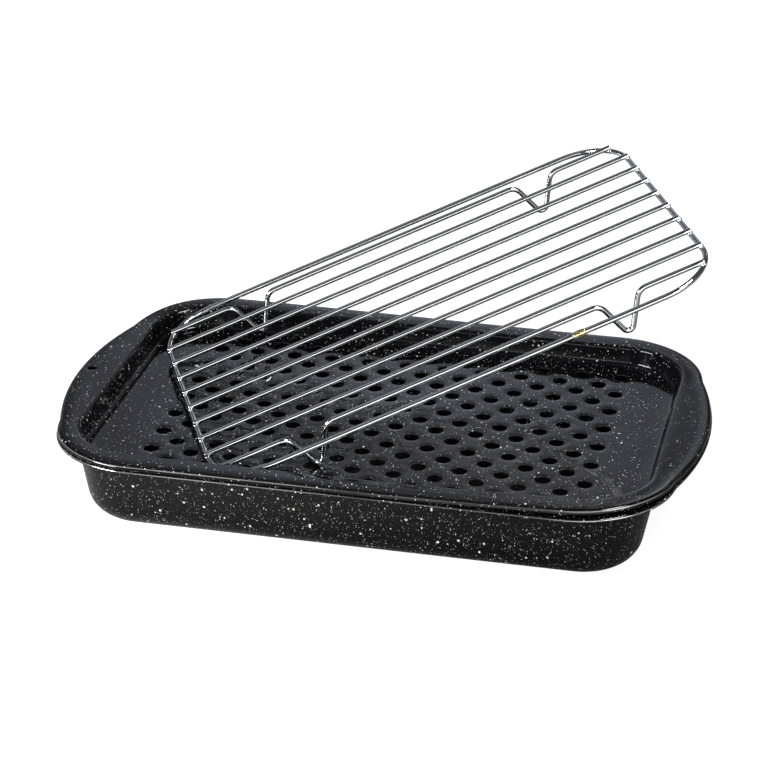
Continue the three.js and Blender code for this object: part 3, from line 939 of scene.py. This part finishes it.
def enamel_material(name, layers, handle_strength):
    """Gloss black enamel with pale flecks, which the right handle shows at its own strength. Marks on the
    mesh paint shade onto the flecks and gloss, and a highlight onto the rims' edges.
    """
    material, nodes = new_material(name)
    place = nodes.place()
    warp = nodes.add("ShaderNodeVectorMath", operation="MULTIPLY_ADD")
    nodes.link(nodes.noise(place, FLECK_RAGGED_SCALE, detail=1).outputs["Color"], warp.inputs[0])
    warp.inputs[1].default_value = (FLECK_RAGGED,) * 3
    nodes.link(place, warp.inputs[2])
    flecks = 0.0
    for layer in layers:
        flecks = nodes.math("MAXIMUM", flecks, speckle_layer(nodes, warp.outputs[0], *layer))
    x = nodes.split(place)[0]
    # Painted shade: the mesh's mark dims the flecks and, where it is low, dulls the gloss
    fresh = nodes.mark("fresh")
    seen = nodes.product(flecks, fresh, nodes.remap(x, *FLECK_FADE_SPAN, 1, handle_strength))
    cloud = nodes.noise(place, CLOUD_SCALE, detail=3).outputs["Fac"]
    colour = nodes.mix(seen, nodes.mix(cloud, GROUND_DARK, GROUND_PALE), FLECK_COLOUR)
    gloss = nodes.remap(cloud, *NOISE_SPAN, *GLOSS_ROUGHNESS)
    roughness = nodes.math("ADD", gloss, nodes.remap(fresh, *DULL_SPAN, DULL_ROUGHNESS, 0))
    bump = nodes.add("ShaderNodeBump")
    bump.inputs["Strength"].default_value = RIPPLE_STRENGTH
    bump.inputs["Distance"].default_value = RIPPLE_DEPTH
    nodes.link(nodes.noise(place, RIPPLE_SCALE, detail=2).outputs["Fac"], bump.inputs["Height"])
    # A painted highlight: pale and partly metallic where the mesh marks the rims' edges, patchy along them
    patches = nodes.noise(place, GLINT_PATCH_SCALE, detail=2).outputs["Fac"]
    painted_glint = nodes.product(nodes.mark("painted_glint"), nodes.remap(patches, *GLINT_PATCH_SPAN, *GLINT_PATCHES))
    nodes.principled(Base_Color=nodes.mix(painted_glint, colour, GLINT_COLOUR),
                     Metallic=nodes.product(painted_glint, GLINT_SHEEN),
                     Roughness=roughness, IOR=ENAMEL_IOR, Normal=bump.outputs["Normal"])
    return material


def chrome_material():
    material, nodes = new_material("chrome_wire")
    haze = nodes.noise(nodes.place(), CHROME_SCALE, detail=4).outputs["Fac"]
    nodes.principled(Base_Color=nodes.mix(haze, CHROME_DARK, CHROME_PALE), Metallic=1.0,
                     Roughness=nodes.remap(haze, *NOISE_SPAN, *CHROME_ROUGHNESS))
    return material


def braze_material():
    material, nodes = new_material("brass_butt_joint")
    patch = nodes.noise(nodes.place(), BRASS_SCALE, detail=3).outputs["Fac"]
    tint = nodes.mix(nodes.rising(patch, BRASS_SPAN), BRASS_DARK, BRASS_PALE)
    nodes.principled(Base_Color=tint, Metallic=1.0,
                     Roughness=nodes.remap(patch, *NOISE_SPAN, *BRASS_ROUGHNESS))
    return material


# Studio floor: grey, and darker near a point under the rack by painted shade. The camera sees it as white.
# Metal and glass see a share of that glow. Its reach and height are in millimetres, as a shape's are.
FLOOR_REACH = 6000
FLOOR_Z = -0.2
FLOOR_SHADED = (0.14, 0.14, 0.14, 1)
FLOOR_FAR = (0.4, 0.4, 0.4, 1)
FLOOR_SHADE_POINT = (0.22, 0.06, 0)
FLOOR_SHADE_SPAN = (0.16, 0.42)
NEAR_WHITE = 0.93
MIRRORED_GLOW = 0.12

# Studio walls, by the direction in which they are seen: a pale screen low behind the object, a glow low at
# its left, a bright slit at its right, and a lamp high above
WALL_COLOUR = (0.07, 0.07, 0.076, 1)
CEILING_COLOUR = (0.055, 0.055, 0.06, 1)
CEILING_SPAN = (0.5, 0.75)
BEHIND_SPAN = (0.3, 0.7)
SCREEN_BOTTOM = (1.0, 1.0, 1.12, 1)
SCREEN_TOP = (0.1, 0.1, 0.11, 1)
SCREEN_STOPS = ((0.2, (0.78, 0.79, 0.93, 1)), (0.45, (0.62, 0.63, 0.77, 1)), (0.64, SCREEN_TOP))
SCREEN_X = -0.19
SCREEN_SIDE_SPAN = (0, 0.24)
GLOW_FOOT_SPAN = (0.19, 0.23)
GLOW_TOP_SPAN = (0.28, 0.36)
GLOW_SIDE_SPAN = (-0.15, 0.1)
SLIT_COLOUR = (1.1, 1.1, 1.15, 1)
SLIT_X = 0.25
SLIT_SIDE_SPAN = (0.03, 0.07)
SLIT_FOOT_SPAN = (0.37, 0.42)
SLIT_TOP_SPAN = (0.49, 0.54)
LAMP_COLOUR = (0.4, 0.4, 0.42, 1)
LAMP_WAY = (-0.395, 0.045, 0.917)
LAMP_SPAN = (0.18, 0.3)

# Softboxes: name, place, width, height and watts
SOFTBOXES = (
    ("key_softbox", (0.72, -1.5, 0.36), 2.6, 0.7, 12),
    ("top_softbox", (0.75, -0.15, 1.35), 0.5, 0.25, 14),
    ("left_softbox", (-1.5, -1.5, 0.8), 1.0, 0.4, 60),
    ("right_softbox", (1.6, -1.0, 0.9), 1.0, 1.0, 9),
)
LIT_POINT = (0, 0, 0.05)


def make_floor():
    """A grey floor that the camera sees as white, but for the object's shadow."""
    material, nodes = new_material("studio_floor")
    # Painted shade: the floor's grey darkens towards a point under the rack
    away = nodes.rising(nodes.distance(nodes.place(), FLOOR_SHADE_POINT), FLOOR_SHADE_SPAN)
    pale = nodes.add("ShaderNodeBsdfDiffuse")
    nodes.link(nodes.mix(away, FLOOR_SHADED, FLOOR_FAR), pale.inputs["Color"])
    ray = nodes.add("ShaderNodeLightPath")
    mirrored = nodes.math("MAXIMUM", ray.outputs["Is Glossy Ray"], ray.outputs["Is Transmission Ray"])
    white = nodes.product(ray.outputs["Is Camera Ray"], nodes.remap(away, 0, 1, NEAR_WHITE, 1))
    strength = nodes.math("ADD", white, nodes.product(mirrored, MIRRORED_GLOW, away))
    glow = nodes.add("ShaderNodeEmission")
    nodes.link(strength, glow.inputs["Strength"])
    both = nodes.add("ShaderNodeAddShader")
    nodes.link(pale.outputs["BSDF"], both.inputs[0])
    nodes.link(glow.outputs["Emission"], both.inputs[1])
    output = nodes.add("ShaderNodeOutputMaterial")
    nodes.link(both.outputs["Shader"], output.inputs["Surface"])
    shell = Shell()
    shell.cap(shell.add([(x * FLOOR_REACH, y * FLOOR_REACH, FLOOR_Z) for x, y in
                         ((-1, -1), (1, -1), (1, 1), (-1, 1))]))
    shell.made("studio_floor", material, smooth=False)


def screen_colour(nodes, z):
    """The screen's colour, which falls off with height."""
    ramp = nodes.add("ShaderNodeValToRGB")
    stops = ramp.color_ramp.elements
    stops[0].position = 0.0
    stops[0].color = SCREEN_BOTTOM
    stops[1].position = 1.0
    stops[1].color = SCREEN_TOP
    for position, colour in SCREEN_STOPS:
        stop = stops.new(position)
        stop.color = colour
    nodes.link(z, ramp.inputs["Fac"])
    return ramp.outputs["Color"]


def make_world():
    """Dim studio walls with what the enamel and the wires mirror."""
    world = bpy.data.worlds.new("studio")
    bpy.context.scene.world = world
    world.use_nodes = True
    nodes = Nodes(world.node_tree)
    way = nodes.add("ShaderNodeTexCoord").outputs["Generated"]
    x, y, z = nodes.split(way)
    behind = nodes.rising(y, BEHIND_SPAN)
    screen = nodes.product(behind, nodes.falling(nodes.off(x, SCREEN_X), SCREEN_SIDE_SPAN))
    glow = nodes.product(behind, nodes.rising(z, GLOW_FOOT_SPAN), nodes.falling(z, GLOW_TOP_SPAN),
                         nodes.falling(x, GLOW_SIDE_SPAN))
    slit = nodes.product(behind, nodes.rising(z, SLIT_FOOT_SPAN), nodes.falling(z, SLIT_TOP_SPAN),
                         nodes.falling(nodes.off(x, SLIT_X), SLIT_SIDE_SPAN))
    lamp = nodes.falling(nodes.distance(way, LAMP_WAY), LAMP_SPAN)
    colour = nodes.mix(nodes.rising(z, CEILING_SPAN), WALL_COLOUR, CEILING_COLOUR)
    colour = nodes.mix(nodes.math("MAXIMUM", screen, glow), colour, screen_colour(nodes, z))
    colour = nodes.mix(lamp, colour, LAMP_COLOUR)
    colour = nodes.mix(slit, colour, SLIT_COLOUR)
    around = nodes.add("ShaderNodeBackground")
    nodes.link(colour, around.inputs["Color"])
    output = nodes.add("ShaderNodeOutputWorld")
    nodes.link(around.outputs["Background"], output.inputs["Surface"])


def make_softbox(name, place, width, height, watts):
    light = bpy.data.lights.new(name, "AREA")
    light.shape = "RECTANGLE"
    light.size = width
    light.size_y = height
    light.energy = watts
    obj = bpy.data.objects.new(name, light)
    bpy.context.collection.objects.link(obj)
    obj.location = place
    obj.rotation_euler = (Vector(LIT_POINT) - Vector(place)).to_track_quat("-Z", "Y").to_euler()


def make_camera():
    """The photograph's camera, found from the drain holes and the rims."""
    azimuth = math.radians(13.03)
    elevation = math.radians(25.43)
    distance = 1566
    aside = -1.58
    above = 20.02
    focal_px = 2485
    image_px = 768
    sensor = 36
    back = Vector((math.sin(azimuth) * math.cos(elevation), -math.cos(azimuth) * math.cos(elevation),
                   math.sin(elevation)))
    right = Vector((math.cos(azimuth), math.sin(azimuth), 0))
    up = back.cross(right)
    place = Vector((0, 0, TRAY_FLOOR)) + right * aside + up * above + back * distance
    camera = bpy.data.cameras.new("camera")
    camera.sensor_width = sensor
    camera.lens = focal_px * sensor / image_px
    camera.clip_end = 50
    obj = bpy.data.objects.new("camera", camera)
    bpy.context.collection.objects.link(obj)
    turn = Matrix((right, up, back)).transposed().to_4x4()
    obj.matrix_world = Matrix.Translation(place * MM) @ turn
    bpy.context.scene.camera = obj


RACK = rack_matrix()

pan = make_pan(enamel_material("speckled_enamel_pan", PAN_FLECKS, 1))
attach(pan, "pan_body")
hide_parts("pan")

tray = make_tray(enamel_material("speckled_enamel_tray", TRAY_FLECKS, TRAY_HANDLE_FLECKS))
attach(tray, "tray_body")
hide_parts("grill_tray")

make_rack(chrome_material(), braze_material())

make_floor()
make_world()
for softbox in SOFTBOXES:
    make_softbox(*softbox)
make_camera()
bpy.context.scene.view_settings.view_transform = "Standard"
